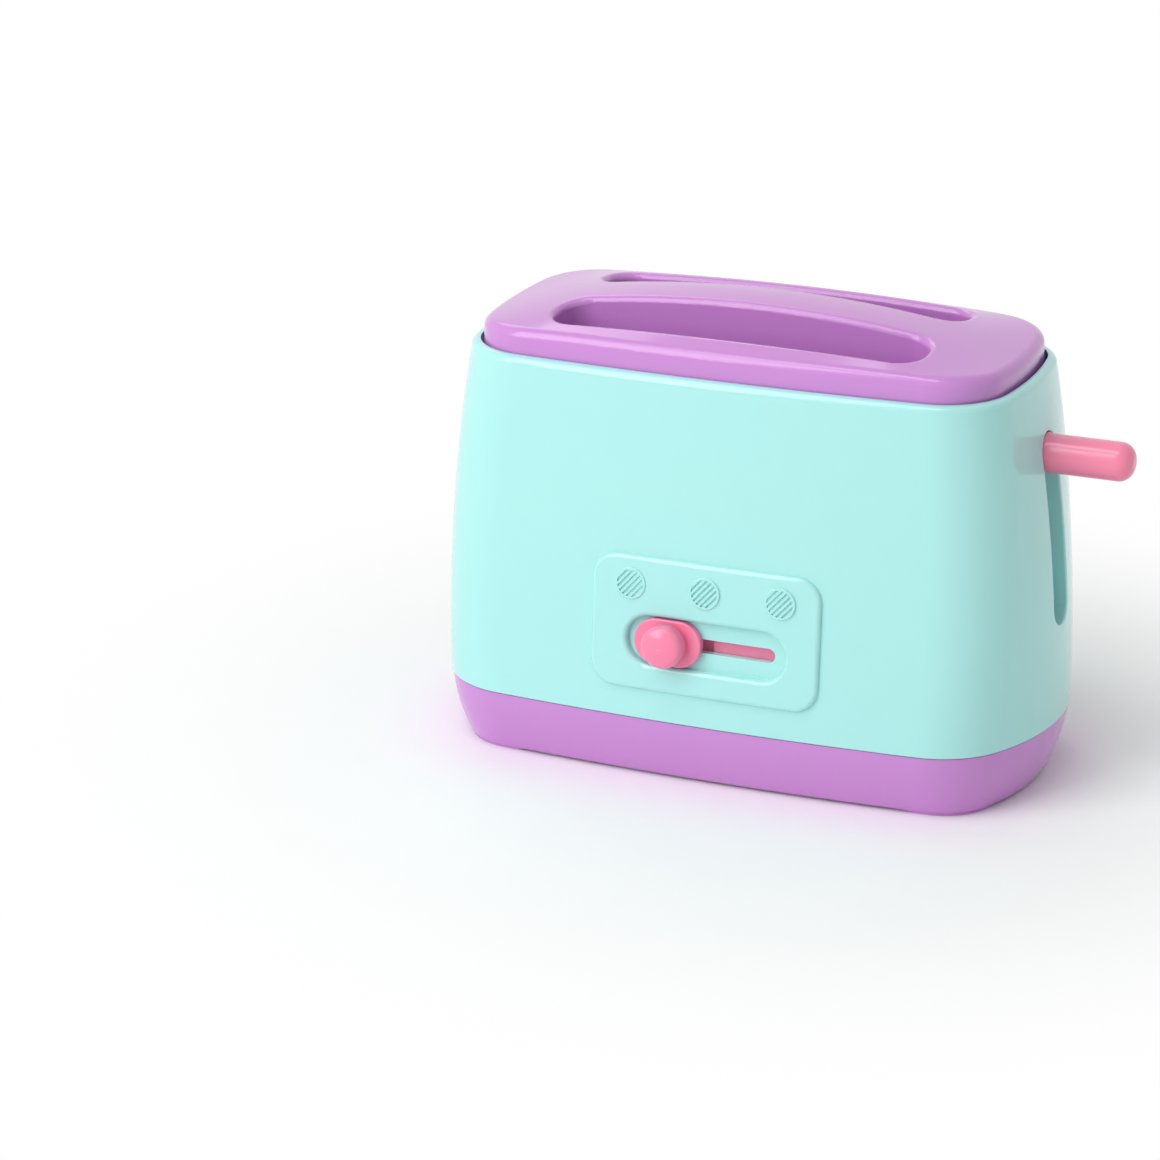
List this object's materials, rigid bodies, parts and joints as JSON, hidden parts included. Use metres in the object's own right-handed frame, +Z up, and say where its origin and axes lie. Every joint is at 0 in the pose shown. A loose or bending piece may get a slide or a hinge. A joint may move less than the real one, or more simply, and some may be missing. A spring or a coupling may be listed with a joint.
{
  "type": "toy toaster",
  "caption": "Toy toaster with a rounded tapering housing, a domed cover with bread slots, a side lever on a sprung bread lift and a front slider that bolts the lift down.",
  "frame": {"origin": "on the floor under the middle of the housing, midway between the four feet", "axes": "+X along the bread slots towards the lever, -Y the front with the slider, +Z up"},
  "size_m": [0.198, 0.0986, 0.1316],
  "materials": {
    "mint_plastic": "glossy injection-moulded plastic, mint",
    "lilac_plastic": "glossy injection-moulded plastic, lilac",
    "pink_plastic": "glossy injection-moulded plastic, pink",
    "natural_plastic": "matt natural-coloured plastic",
    "zinc_steel": "zinc-plated steel",
    "rod_steel": "drawn steel rod",
    "spring_steel": "spring steel wire"
  },
  "bodies": {
    "housing": {"body_shell": "mint_plastic", "top_cover": "lilac_plastic", "base_tray": "lilac_plastic", "guide_rod_left": "rod_steel", "guide_rod_right": "rod_steel", "lift_spring_left": "spring_steel", "lift_spring_right": "spring_steel", "slider_retainer": "natural_plastic", "retainer_screws": "zinc_steel", "base_screws": "zinc_steel", "cover_screws": "zinc_steel"},
    "lift": {"bread_lift": "pink_plastic", "lever_grip": "pink_plastic", "grip_screw": "zinc_steel"},
    "slider": {"slider_knob": "pink_plastic", "slider_plate": "pink_plastic"}
  },
  "joints": [
    {"name": "lever_press", "type": "slide", "parent": "housing", "child": "lift", "axis": [0, 0, -1], "range_m": [0, 0.043], "stiffness_N_per_m": 150, "springref_m": -0.02, "deforming": ["lift_spring_left", "lift_spring_right"]},
    {"name": "slider_travel", "type": "slide", "parent": "housing", "child": "slider", "axis": [1, 0, 0], "range_m": [0, 0.022]}
  ]
}
